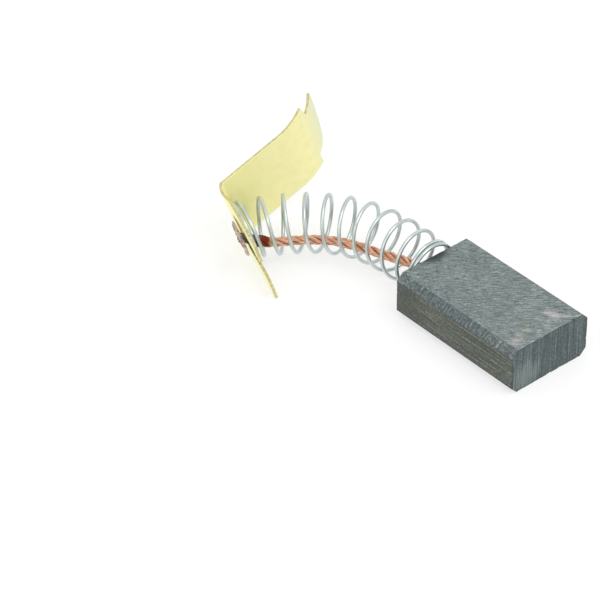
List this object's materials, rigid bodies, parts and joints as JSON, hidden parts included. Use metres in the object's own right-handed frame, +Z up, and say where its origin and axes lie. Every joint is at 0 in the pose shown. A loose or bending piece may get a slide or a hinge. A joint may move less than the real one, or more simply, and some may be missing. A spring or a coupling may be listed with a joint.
{
  "type": "carbon brush",
  "caption": "Carbon brush: a chamfered carbon block with a coil spring and a copper pigtail inside it, tamped into the block and welded to a folded brass terminal.",
  "frame": {"origin": "centre of the carbon block's lower long face, as the brush lies on a bench", "axes": "+X along the block towards the spring, +Z up out of the bench, the spring bends towards +Y"},
  "size_m": [0.052, 0.0247, 0.0136],
  "materials": {
    "carbon": "satin, moulded electrographite",
    "tamping": "matt tamped powder",
    "copper": "bright stranded copper, dark at the weld",
    "spring_steel": "bright zinc plated wire",
    "brass": "bright rolled strip"
  },
  "bodies": {
    "root": {"carbon_block": "carbon", "tamping_plug": "tamping", "shunt": "copper", "spring": "spring_steel", "terminal": "brass"}
  },
  "joints": []
}
